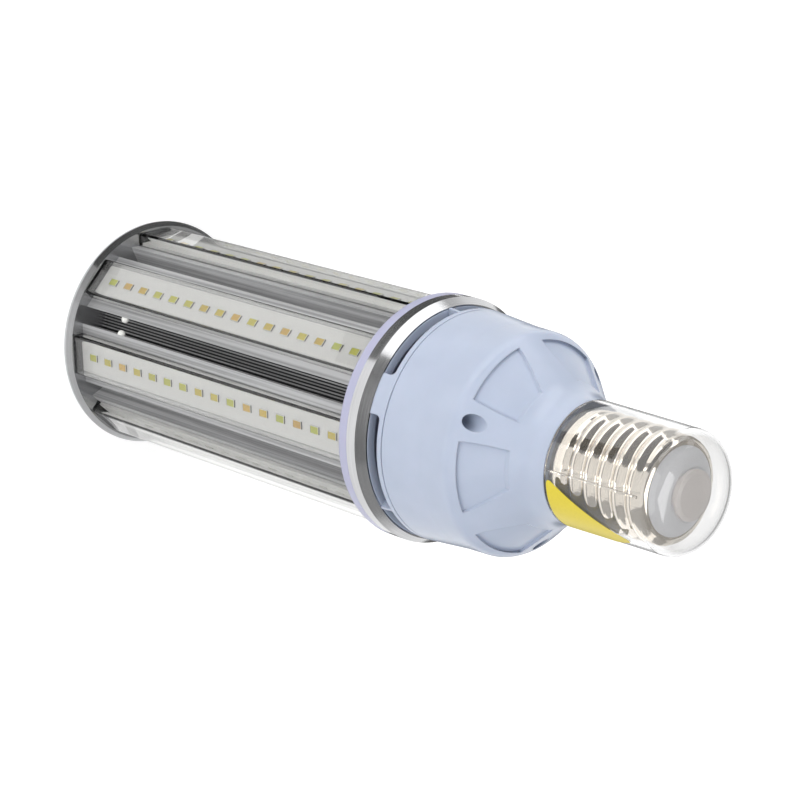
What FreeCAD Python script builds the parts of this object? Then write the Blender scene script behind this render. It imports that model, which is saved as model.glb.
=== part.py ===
"""Corn LED bulb with a large Edison screw base.

The bulb stands on its flat end plate. Z runs up its axis from the end plate to the screw base,
and X points through the middle of the first LED strip. All lengths are millimetres.
"""
import FreeCAD, Part
import math
import os

import Sketcher

SIZES = {
    # end plate and heat sink
    "plate_thick": 2.9,
    "plate_rim": 1.0,
    "plate_chamfer": 1.6,
    "plate_overhang": 1.95,
    "plate_screw_circle": 29.0,
    "plate_screw_radius": 1.9,
    "plate_screw_head": 3.9,
    "plate_screw_length": 12.0,
    "sink_length": 162.0,
    "sink_core": 25.0,
    "seat_distance": 38.3,
    "groove_width": 7.0,
    "groove_web": 2.6,
    "groove_rib_height": 2.4,
    "groove_rib_width": 0.5,
    # LED strips
    "board_width": 13.8,
    "board_thick": 1.2,
    "board_start": 1.2,
    "board_end": 4.9,
    "chip_width": 3.1,
    "chip_length": 4.5,
    "chip_thick": 0.7,
    "chip_first": 9.1,
    "chip_last": 11.9,
    "cover_room": 0.3,
    "cover_height": 4.95,
    "cover_wall": 0.9,
    "cover_corner": 1.6,
    "bead_radius": 1.5,
    "bead_height": 24.5,
    "bead_sunk": 0.5,
    # collar, trim ring and vent ring
    "collar_wall": 1.3,
    "collar_drop": 2.6,
    "collar_floor": 1.3,
    "collar_hole": 12.0,
    "trim_band": 4.3,
    "trim_bevel_height": 3.5,
    "trim_bevel_depth": 2.2,
    "trim_thick": 2.7,
    "vent_height": 6.8,
    "vent_wall": 3.6,
    "vent_taper": 0.6,
    "slot_height": 4.9,
    "slot_round": 2.0,
    "slot_land_angle": 19.8,
    "slot_rib_angle": 1.6,
    # driver housing
    "housing_wall": 2.4,
    "joint_bevel": 0.35,
    "barrel_height": 29.6,
    "barrel_taper": 1.9,
    "waist_height": 18.0,
    "waist_taper": 1.55,
    "cone_height": 21.2,
    "cone_wall_drop": 4.4,
    "shoulder_round": 4.5,
    "neck_radius": 22.4,
    "neck_height": 7.5,
    "neck_round": 18.0,
    "panel_well_angle": 18.0,
    "panel_well_swell_angle": 1.5,
    "panel_neck_angle": 3.0,
    "panel_shoulder_angle": 22.0,
    "panel_swell_angle": 4.9,
    "panel_depth": 1.7,
    "panel_margin": 4.2,
    "panel_rim": 2.6,
    "well_circle": 35.9,
    "well_radius": 2.9,
    "well_floor": 5.0,
    "boss_radius": 4.6,
    "housing_turn": 2.0,
    "housing_screw_radius": 1.5,
    "housing_screw_head": 2.6,
    "housing_screw_head_height": 2.0,
    "housing_screw_length": 13.0,
    # E40 screw base
    "spigot_wall": 3.2,
    "spigot_height": 20.0,
    "shell_wall": 1.6,
    "skirt_step": 0.35,
    "skirt_height": 6.6,
    "thread_crest": 19.75,
    "thread_root": 17.9,
    "thread_pitch": 6.35,
    "thread_flank": 1.7,
    "thread_land": 1.5,
    "shell_lip_height": 2.2,
    "shell_lip_thick": 1.0,
    "shell_lip_width": 3.3,
    "insulator_height": 4.5,
    "insulator_plug": 3.0,
    "insulator_rim": 0.7,
    "contact_radius": 8.9,
    "contact_thick": 1.4,
    "contact_dome": 0.5,
    # clear protective cap
    "cap_wall": 1.1,
    "cap_side_room": 1.0,
    "cap_draft": 0.6,
    "cap_end_round": 8.0,
    "cap_end_room": 1.5,
    "cap_rim_gap": 0.35,
    # LED driver
    "driver_width": 50.0,
    "driver_height": 38.0,
    "driver_thick": 1.6,
    "transformer_width": 19.0,
    "transformer_depth": 16.0,
    "transformer_height": 20.0,
    "capacitor_radius": 5.0,
    "capacitor_length": 20.0,
    "choke_radius": 6.0,
    "choke_length": 9.0,
    "lead_radius": 0.9,
    "lead_spread": 8.0,
    # clearance round what is pushed or dropped into its place
    "fit_gap": 0.1,
}

STRIPS = 8
CHIPS = 16
GROOVE_RIBS = 5
PLATE_SCREWS = 4
HOUSING_SCREWS = 3
PANELS = 6
PANEL_STEPS = 4
BEAD_LATITUDE = 20.0
CAPACITORS = 2
THREAD_TURNS = 5

STRIP_STEP = 360.0 / STRIPS
UP = FreeCAD.Vector(0, 0, 1)
BEYOND = 5.0

doc = FreeCAD.newDocument("corn_led_bulb")
sheet = doc.addObject("Spreadsheet::Sheet", "Sizes")


class Size:
    """A length with its number and the sheet formula that gives it."""

    def __init__(self, number, formula):
        self.number = number
        self.formula = formula

    def __add__(self, other):
        return Size(self.number + number_of(other), f"({self.formula} + {formula_of(other)})")

    def __sub__(self, other):
        return Size(self.number - number_of(other), f"({self.formula} - {formula_of(other)})")

    def __mul__(self, other):
        return Size(self.number * number_of(other), f"({self.formula} * {formula_of(other)})")

    def __truediv__(self, other):
        return Size(self.number / number_of(other), f"({self.formula} / {formula_of(other)})")

    def __neg__(self):
        return Size(-self.number, f"(0 - {self.formula})")


def number_of(length):
    return length.number if isinstance(length, Size) else float(length)


def formula_of(length):
    return length.formula if isinstance(length, Size) else repr(float(length))


def diagonal(first, second):
    number = math.hypot(first.number, second.number)
    return Size(number, f"sqrt({first.formula} ^ 2 + {second.formula} ^ 2)")


def fill_sheet():
    """Write every size into its own aliased cell."""
    for row, (alias, value) in enumerate(SIZES.items(), start=1):
        sheet.set(f"A{row}", alias)
        sheet.set(f"B{row}", str(value))
        sheet.setAlias(f"B{row}", alias)
    doc.recompute()


def size(alias):
    return Size(float(sheet.get(alias)), f"Sizes.{alias}")


def bind(thing, **sizes):
    """Tie properties of an object to sizes."""
    for name, value in sizes.items():
        thing.setExpression(name, formula_of(value))
    return thing


def place(thing, x=0, y=0, z=0, rotation=None):
    """Tie the place of an object to sizes, after turning it."""
    if rotation is not None:
        thing.Placement = FreeCAD.Placement(FreeCAD.Vector(), rotation)
    for axis, value in (("x", x), ("y", y), ("z", z)):
        thing.setExpression(f"Placement.Base.{axis}", formula_of(value))
    return thing


def about_z(degrees):
    return FreeCAD.Rotation(UP, degrees)


def pointing(x, y, z):
    """The rotation that turns Z into a direction."""
    return FreeCAD.Rotation(UP, FreeCAD.Vector(x, y, z))


def on_circle(radius, degrees):
    angle = math.radians(degrees)
    return radius * math.cos(angle), radius * math.sin(angle)


def on_strip(out, across, degrees):
    """A point at a distance out along a strip's own direction and then across it."""
    angle = math.radians(degrees)
    x = out * math.cos(angle) - across * math.sin(angle)
    y = out * math.sin(angle) + across * math.cos(angle)
    return x, y


def block(name, deep, wide, tall):
    return bind(doc.addObject("Part::Box", name), Length=deep, Width=wide, Height=tall)


def rod(name, radius, tall):
    return bind(doc.addObject("Part::Cylinder", name), Radius=radius, Height=tall)


def cut(name, base, tool):
    result = doc.addObject("Part::Cut", name)
    result.Base = base
    result.Tool = tool
    return result


def join(name, shapes):
    result = doc.addObject("Part::MultiFuse", name)
    result.Shapes = shapes
    return result


def group(name, shapes):
    """Separate solids kept together as one piece."""
    result = doc.addObject("Part::Compound", name)
    result.Links = shapes
    return result


def origin_item(body, role):
    return next(item for item in body.Origin.OriginFeatures if item.Role == role)


def new_sketch(body, name, role, height=0):
    """A sketch on one of the body's own planes, raised along that plane's normal."""
    sketch = body.newObject("Sketcher::SketchObject", name)
    sketch.AttachmentSupport = [(origin_item(body, role), "")]
    sketch.MapMode = "FlatFace"
    sketch.setExpression("AttachmentOffset.Base.z", formula_of(height))
    return sketch


def pin_point(sketch, geometry, point, x, y):
    """Hold a sketch point at two sizes from the sketch's origin, or on an axis for zero."""
    for kind, length, axis in (("DistanceX", x, -2), ("DistanceY", y, -1)):
        if abs(number_of(length)) < 1e-6:
            sketch.addConstraint(Sketcher.Constraint("PointOnObject", geometry, point, axis))
            continue
        number = sketch.addConstraint(
            Sketcher.Constraint(kind, -1, 1, geometry, point, length.number)
        )
        sketch.setExpression(f"Constraints[{number}]", length.formula)


def outline(body, name, role, corners, height=0):
    """A closed outline of straight lines through corners given as pairs of sizes."""
    sketch = new_sketch(body, name, role, height)
    points = [FreeCAD.Vector(number_of(x), number_of(y), 0) for x, y in corners]
    count = len(corners)
    for index in range(count):
        sketch.addGeometry(Part.LineSegment(points[index], points[(index + 1) % count]))
    for index in range(count):
        following = (index + 1) % count
        sketch.addConstraint(Sketcher.Constraint("Coincident", index, 2, following, 1))
    for index, (x, y) in enumerate(corners):
        pin_point(sketch, index, 1, x, y)
    return sketch


def circles(body, name, centres, radius, height):
    """Circles of one radius on a level plane."""
    sketch = new_sketch(body, name, "XY_Plane", height)
    for index, (x, y) in enumerate(centres):
        centre = FreeCAD.Vector(number_of(x), number_of(y), 0)
        sketch.addGeometry(Part.Circle(centre, UP, radius.number))
        pin_point(sketch, index, 3, x, y)
        number = sketch.addConstraint(Sketcher.Constraint("Radius", index, radius.number))
        sketch.setExpression(f"Constraints[{number}]", radius.formula)
    return sketch


def turned(name, corners):
    """A body turned about Z from an outline of radius and height pairs."""
    body = doc.addObject("PartDesign::Body", name)
    profile = outline(body, f"{name}_profile", "XZ_Plane", corners)
    revolution = body.newObject("PartDesign::Revolution", f"{name}_revolution")
    revolution.Profile = profile
    revolution.ReferenceAxis = (profile, ["V_Axis"])
    revolution.Angle = 360
    return body


def extrude(body, name, profile, length):
    pad = body.newObject("PartDesign::Pad", name)
    pad.Profile = profile
    return bind(pad, Length=length)


def cut_upwards(body, name, profile, length=None):
    """A pocket upwards from its sketch, right through where no length is given."""
    pocket = body.newObject("PartDesign::Pocket", name)
    pocket.Profile = profile
    pocket.Reversed = True
    if length is None:
        pocket.Type = "ThroughAll"
        return pocket
    return bind(pocket, Length=length)


def repeat_about_z(body, name, feature, count):
    doc.recompute()
    pattern = body.newObject("PartDesign::PolarPattern", name)
    pattern.Originals = [feature]
    pattern.Axis = (origin_item(body, "Z_Axis"), [""])
    pattern.Angle = 360
    pattern.Occurrences = count
    body.Tip = pattern
    return pattern


def round_edges(body, name, radius, chosen):
    """Round the edges of the body's last feature that a test picks out."""
    doc.recompute()
    before = body.Tip
    edges = [
        f"Edge{number}" for number, edge in enumerate(before.Shape.Edges, start=1) if chosen(edge)
    ]
    fillet = body.newObject("PartDesign::Fillet", name)
    fillet.Base = (before, edges)
    return bind(fillet, Radius=radius)


def is_ring(edge, radius, height):
    """True for a full circle of this radius about Z at this height."""
    return (
        isinstance(edge.Curve, Part.Circle)
        and abs(edge.Curve.Radius - radius.number) < 1e-3
        and abs(edge.Curve.Center.z - height.number) < 1e-3
    )


fill_sheet()

# Radii that several pieces share
half_step = math.radians(STRIP_STEP / 2)
fit_gap = size("fit_gap")
seat = size("seat_distance")
cover_top = seat + size("cover_height")
cover_half = size("board_width") / 2 + size("cover_room") + size("cover_wall")
cover_reach = diagonal(cover_top, cover_half)
plate_radius = cover_reach + size("plate_overhang")
collar_inner = cover_reach + fit_gap * 3
collar_outer = collar_inner + size("collar_wall")
trim_outer = collar_outer
trim_inner = trim_outer - size("trim_thick")
vent_radius = trim_outer - size("trim_bevel_depth") - fit_gap
vent_top_radius = vent_radius - size("vent_taper")
spigot_ring = trim_inner - fit_gap
vent_inner = spigot_ring - size("vent_wall")
barrel_top_radius = vent_top_radius - size("barrel_taper")
shell_bore = size("thread_root") - size("shell_wall")
spigot_radius = shell_bore - fit_gap
neck_bore = spigot_radius - size("spigot_wall")
skirt_radius = size("thread_crest") - size("skirt_step")
shell_lip = size("thread_root") - size("shell_lip_width")

# Heights from the end plate up to the screw base
sink_bottom = size("plate_thick")
sink_top = sink_bottom + size("sink_length")
collar_top = sink_top + size("collar_floor")
trim_top = collar_top + size("trim_band") + size("trim_bevel_height")
vent_top = trim_top + size("vent_height")
housing_bottom = vent_top + fit_gap
well_floor = housing_bottom + size("well_floor")
shoulder = housing_bottom + size("barrel_height")
neck_bottom = shoulder + size("cone_height")
neck_top = neck_bottom + size("neck_height")
spigot_top = neck_top + size("spigot_height")
thread_start = neck_top + size("skirt_height")
thread_end = thread_start + size("thread_pitch") * THREAD_TURNS
shell_top = thread_end + size("shell_lip_height")
contact_bottom = shell_top + size("insulator_height")
contact_rim = contact_bottom + size("contact_thick")
contact_top = contact_rim + size("contact_dome")
driver_top = collar_top + size("driver_height")
board_bottom = sink_bottom + size("board_start")
board_top = sink_top - size("board_end")

# Directions, in degrees about Z; the housing and vent ring are drawn with a panel on X
strip_angles = [STRIP_STEP * index for index in range(STRIPS)]
plate_screw_angles = [360.0 / PLATE_SCREWS * index for index in range(PLATE_SCREWS)]
boss_step = 360.0 / HOUSING_SCREWS
boss_angles = [boss_step * index - 180.0 / PANELS for index in range(HOUSING_SCREWS)]
housing_rotation = about_z(number_of(size("housing_turn")))


def cone_height_at(radius):
    """Height of the housing's cone face, before its rounds, at a radius."""
    rise = size("cone_height") / (barrel_top_radius - size("neck_radius"))
    return shoulder + (barrel_top_radius - radius) * rise


def countersunk_screw(name, angle, clearance):
    """A countersunk screw, head down on Z 0, made larger all round by a clearance."""
    x, y = on_circle(size("plate_screw_circle"), angle)
    head = bind(
        doc.addObject("Part::Cone", f"{name}_head"),
        Radius1=size("plate_screw_head") + clearance,
        Radius2=size("plate_screw_radius") + clearance,
        Height=size("plate_screw_head") - size("plate_screw_radius"),
    )
    shank = rod(
        f"{name}_shank", size("plate_screw_radius") + clearance, size("plate_screw_length")
    )
    return join(name, [place(head, x, y), place(shank, x, y)])


def make_end_plate():
    """Round plate with a narrow straight rim and a chamfer towards the strips."""
    disc = turned(
        "plate_disc",
        [
            (0, 0),
            (plate_radius, 0),
            (plate_radius, size("plate_rim")),
            (plate_radius - size("plate_chamfer"), size("plate_thick")),
            (0, size("plate_thick")),
        ],
    )
    holes = [
        countersunk_screw(f"plate_hole_{index}", angle, fit_gap)
        for index, angle in enumerate(plate_screw_angles)
    ]
    return cut("end_plate", disc, join("plate_holes", holes))


def make_end_plate_screws():
    screws = [
        countersunk_screw(f"plate_screw_{index}", angle, 0)
        for index, angle in enumerate(plate_screw_angles)
    ]
    return group("end_plate_screws", screws)


def groove_corners():
    """Outline of one groove along X, with fine ribs standing on its floor."""
    half = size("groove_width") / 2
    floor = size("sink_core") + size("groove_web")
    crest = floor + size("groove_rib_height")
    mouth = seat / math.cos(half_step) + BEYOND
    spacing = size("groove_width") / (GROOVE_RIBS + 1)
    rib_half = size("groove_rib_width") / 2
    corners = [(mouth, -half), (floor, -half)]
    for index in range(GROOVE_RIBS):
        near_side = spacing * (index + 1) - half - rib_half
        far_side = spacing * (index + 1) - half + rib_half
        corners += [
            (floor, near_side),
            (crest, near_side),
            (crest, far_side),
            (floor, far_side),
        ]
    return corners + [(floor, half), (mouth, half)]


def lead_out(name, angle, radius):
    """A lead from the driver down into the core and out to the back of a strip."""
    level = board_top - size("lead_radius") * 3
    x, y = on_circle(size("lead_spread"), angle)
    drop = place(rod(f"{name}_drop", radius, collar_top - level), x, y, level)
    elbow = bind(doc.addObject("Part::Sphere", f"{name}_elbow"), Radius=radius)
    run = rod(f"{name}_run", radius, seat - size("lead_spread"))
    direction = pointing(*on_circle(1.0, angle), 0)
    return join(name, [drop, place(elbow, x, y, level), place(run, x, y, level, direction)])


def make_heat_sink():
    """Eight sided extrusion, a deep ribbed groove along each corner and an open core.

    It is drawn with a corner on X and turned so that a flat seat faces X.
    """
    body = doc.addObject("PartDesign::Body", "sink_extrusion")
    corner = seat / math.cos(half_step)
    section = outline(
        body,
        "sink_section",
        "XY_Plane",
        [on_circle(corner, angle) for angle in strip_angles],
        sink_bottom,
    )
    extrude(body, "sink_bar", section, size("sink_length"))
    core = circles(body, "core_circle", [(0, 0)], size("sink_core"), sink_bottom)
    cut_upwards(body, "sink_core_bore", core)
    pilots = circles(
        body,
        "pilot_circles",
        [
            on_circle(size("plate_screw_circle"), angle - STRIP_STEP / 2)
            for angle in plate_screw_angles
        ],
        size("plate_screw_radius") + fit_gap,
        sink_bottom,
    )
    cut_upwards(body, "sink_pilot_holes", pilots, size("plate_screw_length"))
    groove = outline(body, "groove_section", "XY_Plane", groove_corners(), sink_bottom)
    first = cut_upwards(body, "sink_groove", groove)
    repeat_about_z(body, "sink_grooves", first, STRIPS)
    body.Placement = FreeCAD.Placement(FreeCAD.Vector(), about_z(STRIP_STEP / 2))
    wire_holes = [
        lead_out(f"wire_hole_{index}", angle, size("lead_radius") + fit_gap)
        for index, angle in enumerate((0, 180))
    ]
    return cut("heat_sink", body, join("wire_holes", wire_holes))


def make_led_board(name, angle):
    board = block(name, size("board_thick"), size("board_width"), board_top - board_bottom)
    x, y = on_strip(seat, -(size("board_width") / 2), angle)
    return place(board, x, y, board_bottom, about_z(angle))


def make_led_chips(name, angle):
    """One centred row of chips on the board, each longer along the strip than across it."""
    width = size("chip_width")
    length = size("chip_length")
    x, y = on_strip(seat + size("board_thick"), -(width / 2), angle)
    first = sink_bottom + size("chip_first") - length / 2
    row = size("sink_length") - size("chip_first") - size("chip_last")
    pitch = row / (CHIPS - 1)
    chips = []
    for index in range(CHIPS):
        chip = block(f"{name}_chip_{index}", size("chip_thick"), width, length)
        chips.append(place(chip, x, y, first + pitch * index, about_z(angle)))
    return group(name, chips)


def make_lens_cover(name, angle):
    """Clear trough over a board, with rounded long edges and closed ends."""
    body = doc.addObject("PartDesign::Body", name)
    half = cover_half
    wall = size("cover_wall")
    section = outline(
        body,
        f"{name}_section",
        "XY_Plane",
        [(seat, -half), (cover_top, -half), (cover_top, half), (seat, half)],
        sink_bottom,
    )
    extrude(body, f"{name}_bar", section, size("sink_length"))
    round_edges(
        body,
        f"{name}_rounds",
        size("cover_corner"),
        lambda edge: edge.BoundBox.ZLength > 1 and edge.BoundBox.XMin > cover_top.number - 0.01,
    )
    hollow = outline(
        body,
        f"{name}_hollow_section",
        "XY_Plane",
        [
            (seat - BEYOND, wall - half),
            (cover_top - wall, wall - half),
            (cover_top - wall, half - wall),
            (seat - BEYOND, half - wall),
        ],
        sink_bottom + wall,
    )
    cut_upwards(body, f"{name}_hollow", hollow, size("sink_length") - wall * 2)
    body.Placement = FreeCAD.Placement(FreeCAD.Vector(), about_z(angle))
    return body


def make_sealant_beads():
    """Two dabs that face each other on the walls of one groove, just inside its mouth."""
    half = size("groove_width") / 2
    mouth = (seat - half * math.sin(half_step)) / math.cos(half_step)
    flat = size("bead_radius") * math.sin(math.radians(BEAD_LATITUDE))
    groove_angle = -STRIP_STEP / 2
    beads = []
    for index, side in enumerate((-1, 1)):
        bead = bind(doc.addObject("Part::Sphere", f"bead_{index}"), Radius=size("bead_radius"))
        bead.Angle1 = -BEAD_LATITUDE
        x, y = on_strip(mouth - size("bead_sunk"), (half - flat) * side, groove_angle)
        inwards = pointing(*on_circle(1.0, groove_angle - 90 * side), 0)
        beads.append(place(bead, x, y, sink_bottom + size("bead_height"), inwards))
    return group("sealant_beads", beads)


def make_collar():
    """Shallow cup that holds the upper ends of the strips."""
    skirt_end = sink_top - size("collar_drop")
    return turned(
        "collar",
        [
            (size("collar_hole"), sink_top),
            (collar_inner, sink_top),
            (collar_inner, skirt_end),
            (collar_outer, skirt_end),
            (collar_outer, collar_top),
            (size("collar_hole"), collar_top),
        ],
    )


def make_trim_ring():
    """Metal band with a broad bevel towards the housing."""
    bevel_start = collar_top + size("trim_band")
    return turned(
        "trim_ring",
        [
            (trim_inner, collar_top),
            (trim_outer, collar_top),
            (trim_outer, bevel_start),
            (trim_outer - size("trim_bevel_depth"), trim_top),
            (trim_inner, trim_top),
        ],
    )


def slot_cutter(name, start, sweep):
    """A slot open to the trim ring, over a sweep from one angle, its first upper corner round."""
    corner = size("slot_round")
    reach = vent_radius + BEYOND
    corner_turn = corner / vent_radius * math.degrees(1.0)
    corner_level = trim_top + size("slot_height") - corner
    heading = start + math.copysign(corner_turn.number, sweep)
    lower = rod(f"{name}_lower", reach, corner_level - trim_top)
    lower.Angle = abs(sweep)
    place(lower, 0, 0, trim_top, about_z(min(start, start + sweep)))
    upper = bind(rod(f"{name}_upper", reach, corner), Angle=-corner_turn + abs(sweep))
    place(upper, 0, 0, corner_level, about_z(min(heading, start + sweep)))
    end = rod(f"{name}_end", corner, reach)
    place(end, 0, 0, corner_level, pointing(*on_circle(1.0, heading), 0))
    return [lower, upper, end]


def make_vent_ring():
    """Ring that plugs into the trim ring, with pairs of slots and three screw bosses."""
    ring = turned(
        "vent_band",
        [
            (vent_inner, collar_top),
            (spigot_ring, collar_top),
            (spigot_ring, trim_top + fit_gap),
            (vent_radius, trim_top + fit_gap),
            (vent_top_radius, vent_top),
            (vent_inner, vent_top),
        ],
    )
    land_half = number_of(size("slot_land_angle")) / 2
    rib_half = number_of(size("slot_rib_angle")) / 2
    sweep = boss_step / 2 - land_half - rib_half
    pilot_depth = size("housing_screw_length") - size("well_floor") + fit_gap * 10
    bosses = []
    cutters = []
    for index, angle in enumerate(boss_angles):
        x, y = on_circle(size("well_circle"), angle)
        boss = rod(f"vent_boss_{index}", size("boss_radius"), vent_top - collar_top)
        bosses.append(place(boss, x, y, collar_top))
        pilot = rod(
            f"vent_pilot_{index}", size("housing_screw_radius") + fit_gap, pilot_depth + BEYOND
        )
        cutters.append(place(pilot, x, y, vent_top - pilot_depth))
        cutters += slot_cutter(f"slot_{index}_left", angle + land_half, sweep)
        cutters += slot_cutter(f"slot_{index}_right", angle - land_half, -sweep)
    solid = join("vent_solid", [ring] + bosses)
    vent_ring = cut("vent_ring", solid, join("vent_cutters", cutters))
    return place(vent_ring, rotation=housing_rotation)


def make_housing_form():
    """Solid outside form: barrel, shoulder, cone, neck and inner spigot."""
    body = turned(
        "housing_form",
        [
            (0, housing_bottom),
            (vent_top_radius - size("joint_bevel"), housing_bottom),
            (vent_top_radius, housing_bottom + size("joint_bevel")),
            (vent_top_radius - size("waist_taper"), housing_bottom + size("waist_height")),
            (barrel_top_radius, shoulder),
            (size("neck_radius"), neck_bottom),
            (size("neck_radius"), neck_top),
            (spigot_radius, neck_top),
            (spigot_radius, spigot_top),
            (0, spigot_top),
        ],
    )
    round_edges(
        body,
        "shoulder_fillet",
        size("shoulder_round"),
        lambda edge: is_ring(edge, barrel_top_radius, shoulder),
    )
    round_edges(
        body,
        "neck_fillet",
        size("neck_round"),
        lambda edge: is_ring(edge, size("neck_radius"), neck_bottom),
    )
    return body


def panel_side(at_neck, at_shoulder, swell):
    """Points along one side of a panel, from the neck out to the shoulder, in a soft curve."""
    points = []
    for step in range(PANEL_STEPS + 1):
        share = step / PANEL_STEPS
        radius = size("neck_radius") + (barrel_top_radius - size("neck_radius")) * share
        angle = at_neck + (at_shoulder - at_neck) * share + swell * 4 * share * (1 - share)
        points.append((radius, angle))
    return points


def make_panel_cutters():
    """Six recesses in the cone; each second one is mirrored, so two meet at every screw well."""
    inside = size("neck_radius") + size("panel_margin")
    outside = barrel_top_radius - size("panel_rim")
    band = turned(
        "panel_band",
        [
            (inside, cone_height_at(inside) - size("panel_depth")),
            (outside, cone_height_at(outside) - size("panel_depth")),
            (outside, neck_top),
            (inside, neck_top),
        ],
    )
    well_angle = number_of(size("panel_well_angle"))
    well_side = panel_side(well_angle, well_angle, number_of(size("panel_well_swell_angle")))
    free_side = panel_side(
        number_of(size("panel_neck_angle")),
        number_of(size("panel_shoulder_angle")),
        number_of(size("panel_swell_angle")),
    )
    fields = []
    for index in range(PANELS):
        middle = 360.0 / PANELS * index
        towards_well = -1 if index % 2 == 0 else 1
        corners = [on_circle(radius, middle + towards_well * angle) for radius, angle in well_side]
        corners += [
            on_circle(radius, middle - towards_well * angle)
            for radius, angle in reversed(free_side)
        ]
        body = doc.addObject("PartDesign::Body", f"panel_field_{index}")
        section = outline(body, f"panel_field_section_{index}", "XY_Plane", corners, housing_bottom)
        extrude(body, f"panel_field_bar_{index}", section, neck_top - housing_bottom)
        fields.append(body)
    cutter = doc.addObject("Part::Common", "panel_cutters")
    cutter.Base = band
    cutter.Tool = join("panel_fields", fields)
    return cutter


def make_driver_housing():
    """Moulded shell round the driver, its cone sunk in panels, with three deep screw wells."""
    wall = size("housing_wall")
    barrel_inside = barrel_top_radius - wall
    cavity = turned(
        "housing_cavity",
        [
            (0, housing_bottom - BEYOND),
            (vent_top_radius - wall, housing_bottom - BEYOND),
            (vent_top_radius - wall, housing_bottom),
            (barrel_inside, cone_height_at(barrel_inside) - size("cone_wall_drop")),
            (neck_bore, neck_top - wall),
            (neck_bore, spigot_top + BEYOND),
            (0, spigot_top + BEYOND),
        ],
    )
    bosses = []
    wells = []
    for index, angle in enumerate(boss_angles):
        x, y = on_circle(size("well_circle"), angle)
        boss = rod(f"housing_boss_{index}", size("boss_radius"), neck_top - housing_bottom)
        bosses.append(place(boss, x, y, housing_bottom))
        well = rod(f"screw_well_{index}", size("well_radius"), neck_top - well_floor)
        wells.append(place(well, x, y, well_floor))
        hole = rod(
            f"screw_hole_{index}",
            size("housing_screw_radius") + fit_gap,
            size("well_floor") + BEYOND * 2,
        )
        wells.append(place(hole, x, y, housing_bottom - BEYOND))
    room = cut("housing_room", cavity, join("housing_bosses", bosses))
    shell = cut("housing_shell", make_housing_form(), room)
    recesses = join("housing_recesses", wells + [make_panel_cutters()])
    housing = cut("driver_housing", shell, recesses)
    return place(housing, rotation=housing_rotation)


def make_housing_screws():
    screws = []
    turn = number_of(size("housing_turn"))
    for index, angle in enumerate(boss_angles):
        x, y = on_circle(size("well_circle"), angle + turn)
        head = rod(
            f"screw_head_{index}", size("housing_screw_head"), size("housing_screw_head_height")
        )
        shank = rod(
            f"screw_shank_{index}", size("housing_screw_radius"), size("housing_screw_length")
        )
        place(head, x, y, well_floor)
        place(shank, x, y, well_floor - size("housing_screw_length"))
        screws.append(join(f"housing_screw_{index}", [head, shank]))
    return group("housing_screws", screws)


def make_screw_shell():
    """Screw cap: plain skirt, five rolled turns drawn as rings, and a lip turned in."""
    rest = size("thread_pitch") - size("thread_flank") * 2 - size("thread_land")
    corners = [
        (shell_bore, neck_top),
        (skirt_radius, neck_top),
        (skirt_radius, thread_start - size("thread_flank") / 2),
    ]
    for index in range(THREAD_TURNS):
        foot = thread_start + size("thread_pitch") * index + rest / 2
        crest = foot + size("thread_flank")
        corners += [
            (size("thread_root"), foot),
            (size("thread_crest"), crest),
            (size("thread_crest"), crest + size("thread_land")),
            (size("thread_root"), crest + size("thread_land") + size("thread_flank")),
        ]
    corners += [
        (size("thread_root"), thread_end),
        (shell_lip + size("shell_lip_thick"), shell_top),
        (shell_lip, shell_top),
        (shell_lip, shell_top - size("shell_lip_thick")),
        (shell_bore, thread_end - size("shell_lip_thick")),
    ]
    return turned("screw_shell", corners)


def make_base_insulator():
    """Plug and cone that carry the centre contact in the end of the shell."""
    hole = size("lead_radius") + fit_gap
    plug = shell_lip - fit_gap
    plug_bottom = shell_top - size("insulator_plug")
    return turned(
        "base_insulator",
        [
            (hole, plug_bottom),
            (plug, plug_bottom),
            (plug, shell_top),
            (shell_lip + size("shell_lip_thick"), shell_top),
            (size("contact_radius") + size("insulator_rim"), contact_bottom),
            (hole, contact_bottom),
        ],
    )


def make_centre_contact():
    radius = size("contact_radius")
    return turned(
        "centre_contact",
        [
            (0, contact_bottom),
            (radius, contact_bottom),
            (radius, contact_rim),
            (radius - size("contact_thick"), contact_top),
            (0, contact_top),
        ],
    )


def make_protective_cap():
    """Clear cap pushed over the screw base, open at the housing and rounded at its end."""
    wall = size("cap_wall")
    rim = neck_top + size("cap_rim_gap")
    inside_end = contact_top + size("cap_end_room")
    inner_end = size("thread_crest") + size("cap_side_room")
    inner_rim = inner_end + size("cap_draft")
    body = turned(
        "protective_cap",
        [
            (inner_rim, rim),
            (inner_rim + wall, rim),
            (inner_end + wall, inside_end + wall),
            (0, inside_end + wall),
            (0, inside_end),
            (inner_end, inside_end),
        ],
    )
    round_edges(
        body,
        "cap_outer_round",
        size("cap_end_round"),
        lambda edge: is_ring(edge, inner_end + wall, inside_end + wall),
    )
    round_edges(
        body,
        "cap_inner_round",
        size("cap_end_round") - wall,
        lambda edge: is_ring(edge, inner_end, inside_end),
    )
    return body


def make_driver_board():
    """Upright circuit board that stands on the collar's floor across the axis."""
    board = block("driver_board", size("driver_width"), size("driver_thick"), size("driver_height"))
    return place(board, -(size("driver_width") / 2), -(size("driver_thick") / 2), collar_top)


def make_transformer():
    core = block(
        "transformer",
        size("transformer_width"),
        size("transformer_depth"),
        size("transformer_height"),
    )
    left = size("lead_spread") / 4 - size("driver_width") / 2
    low = collar_top + (size("driver_height") - size("transformer_height")) / 2
    return place(core, left, size("driver_thick") / 2, low)


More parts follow.
